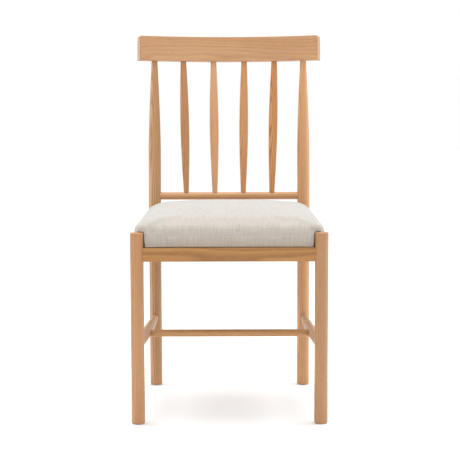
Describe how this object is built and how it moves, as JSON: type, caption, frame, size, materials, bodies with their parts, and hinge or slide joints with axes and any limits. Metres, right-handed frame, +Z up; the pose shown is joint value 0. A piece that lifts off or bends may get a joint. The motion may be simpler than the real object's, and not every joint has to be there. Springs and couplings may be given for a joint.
{
  "type": "dining chair",
  "caption": "Armless oak dining chair with round legs, turned stretchers, a spindle back under a bent crest rail, and a linen-covered seat pad.",
  "frame": {"origin": "on the floor, under the middle of the chair's bounding box", "axes": "+Z up, -Y towards the front edge of the seat, +X towards the right of someone who stands in front of the chair and looks at it"},
  "size_m": [0.4686, 0.518, 0.9006],
  "materials": {
    "oak": "satin clear oil on natural light oak",
    "beech": "matte, unfinished",
    "plywood": "matte, unfinished",
    "foam": "matte, open-cell foam",
    "linen": "matte plain-weave linen with slubs",
    "cambric": "matte non-woven cloth",
    "steel": "satin, zinc plated",
    "nylon": "matte"
  },
  "bodies": {
    "root": {"front_leg_left": "oak", "front_leg_right": "oak", "rear_post_left": "oak", "rear_post_right": "oak", "front_rail": "oak", "rear_rail": "oak", "side_rail_left": "oak", "side_rail_right": "oak", "side_stretcher_left": "oak", "side_stretcher_right": "oak", "cross_stretcher": "oak", "lower_back_rail": "oak", "crest_rail": "oak", "spindle_1": "oak", "spindle_2": "oak", "spindle_3": "oak", "spindle_4": "oak", "corner_block_front_left": "beech", "corner_block_front_right": "beech", "corner_block_rear_right": "beech", "corner_block_rear_left": "beech", "dowel_front_rail_front_left_upper": "beech", "dowel_front_rail_front_left_lower": "beech", "dowel_front_rail_front_right_upper": "beech", "dowel_front_rail_front_right_lower": "beech", "dowel_side_rail_right_front_right_upper": "beech", "dowel_side_rail_right_front_right_lower": "beech", "dowel_side_rail_right_rear_right_upper": "beech", "dowel_side_rail_right_rear_right_lower": "beech", "dowel_rear_rail_rear_right_upper": "beech", "dowel_rear_rail_rear_right_lower": "beech", "dowel_rear_rail_rear_left_upper": "beech", "dowel_rear_rail_rear_left_lower": "beech", "dowel_side_rail_left_rear_left_upper": "beech", "dowel_side_rail_left_rear_left_lower": "beech", "dowel_side_rail_left_front_left_upper": "beech", "dowel_side_rail_left_front_left_lower": "beech", "seat_board": "plywood", "seat_foam": "foam", "seat_cover": "linen", "dust_cover": "cambric", "screw_front_rail_front_left": "steel", "screw_front_rail_front_right": "steel", "screw_side_rail_right_front_right": "steel", "screw_side_rail_right_rear_right": "steel", "screw_rear_rail_rear_right": "steel", "screw_rear_rail_rear_left": "steel", "screw_side_rail_left_rear_left": "steel", "screw_side_rail_left_front_left": "steel", "seat_screw_front_left": "steel", "seat_screw_front_right": "steel", "seat_screw_rear_right": "steel", "seat_screw_rear_left": "steel", "glide_front_left": "nylon", "glide_front_right": "nylon", "glide_rear_right": "nylon", "glide_rear_left": "nylon"}
  },
  "joints": []
}
